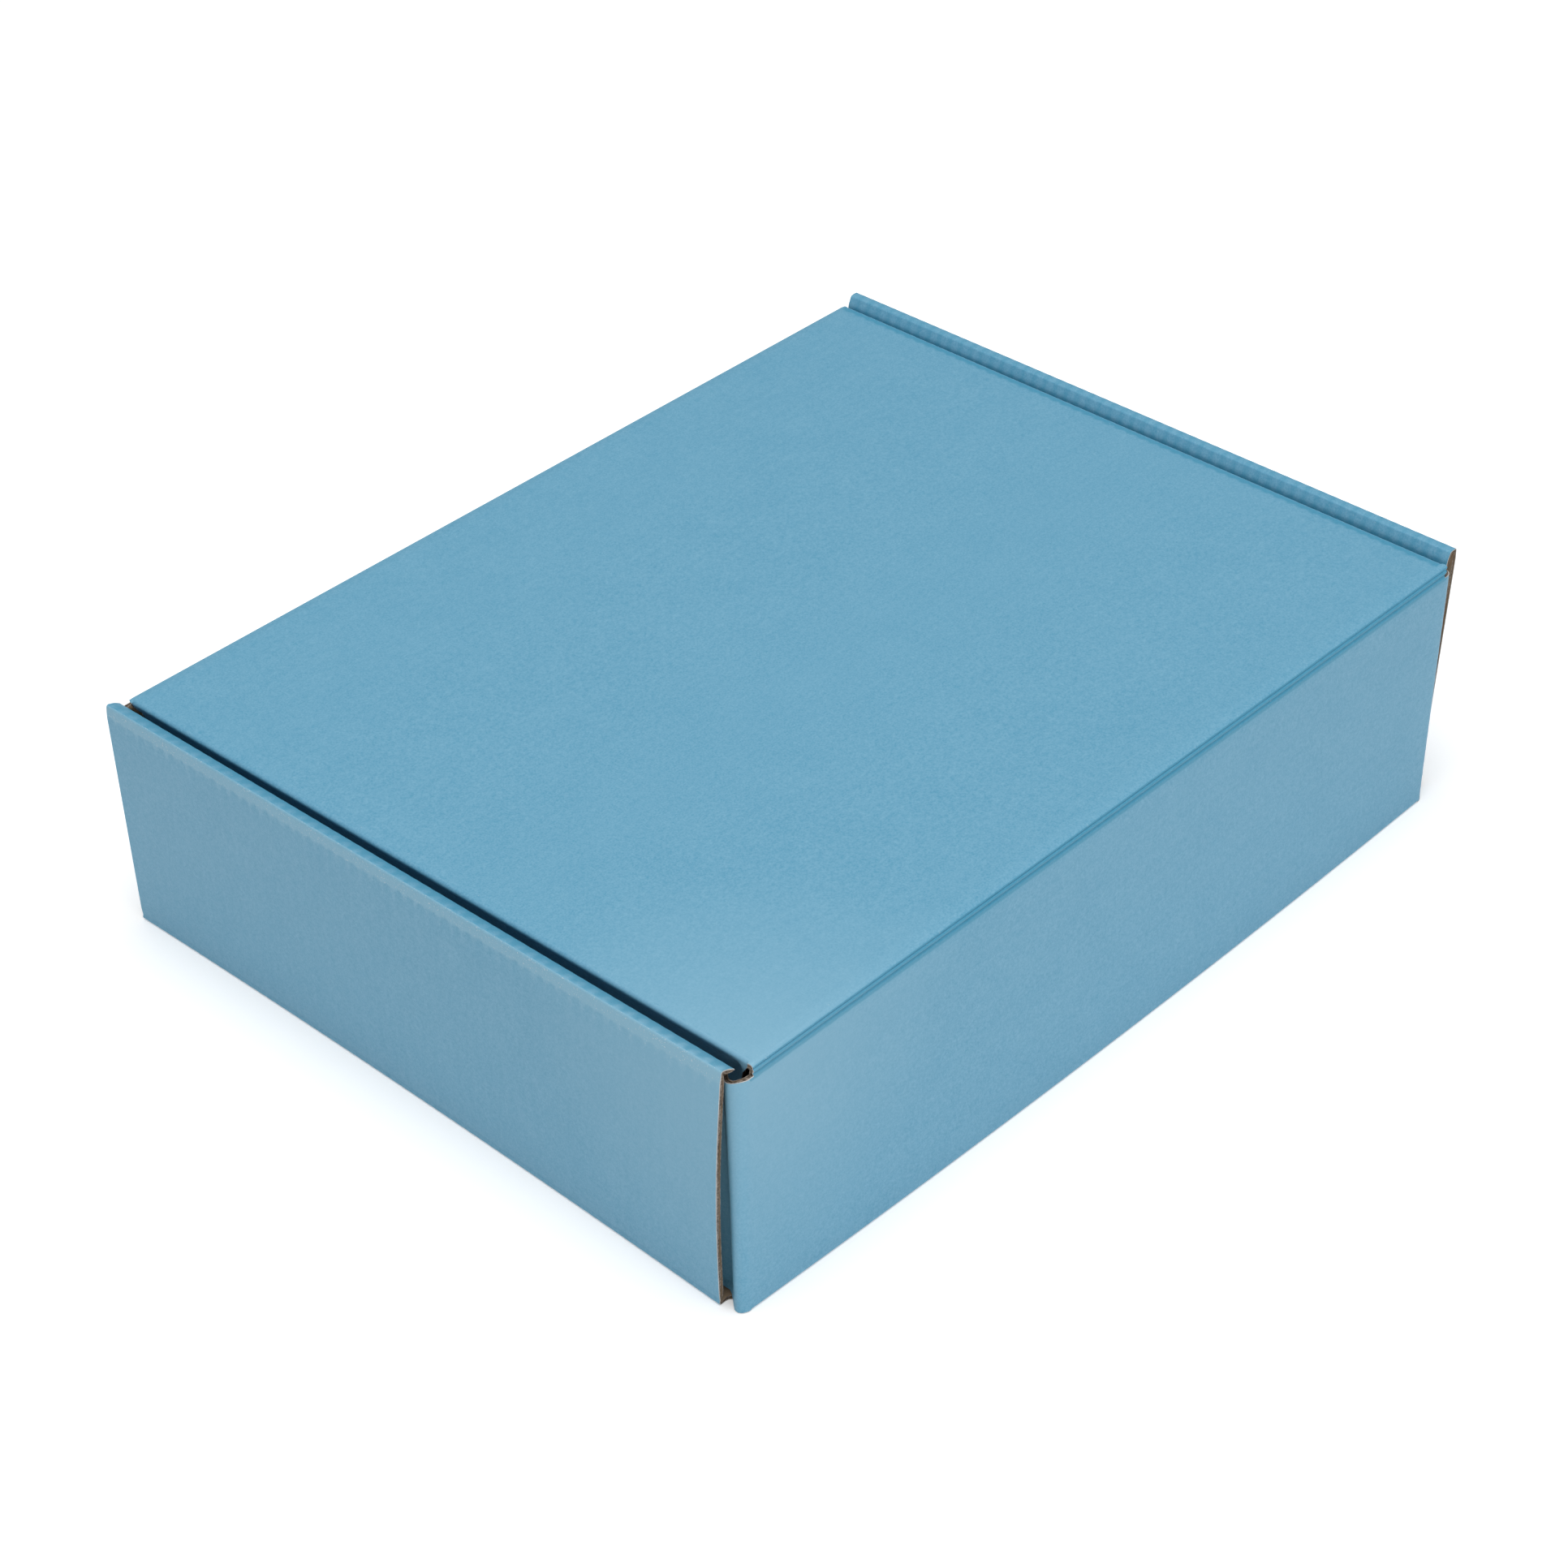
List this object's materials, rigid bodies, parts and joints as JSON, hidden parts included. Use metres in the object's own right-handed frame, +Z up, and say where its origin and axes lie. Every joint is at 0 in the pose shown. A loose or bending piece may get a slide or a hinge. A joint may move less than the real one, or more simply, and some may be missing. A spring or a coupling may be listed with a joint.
{
  "type": "corrugated mailer box",
  "caption": "Shallow mailer box folded from printed corrugated board, with rolled side walls and a hinged lid that tucks in at the front.",
  "frame": {"origin": "middle of the underside of the bottom, at the bottom centre of the closed box", "axes": "+X along the lid crease from side to side, +Y towards the back wall that carries the lid, +Z up"},
  "size_m": [0.2399, 0.1896, 0.0612],
  "materials": {
    "printed_board": "matt sky-blue print on a white-topped outer face, plain brown kraft inside and between the liners"
  },
  "bodies": {
    "tray": {"tray": "printed_board"},
    "lid": {"lid": "printed_board"}
  },
  "joints": [
    {"name": "lid_hinge", "type": "hinge", "parent": "tray", "child": "lid", "pos_m": [0, 0.09475, 0.0594], "axis": [-1, 0, 0], "range_deg": [0, 180]}
  ]
}
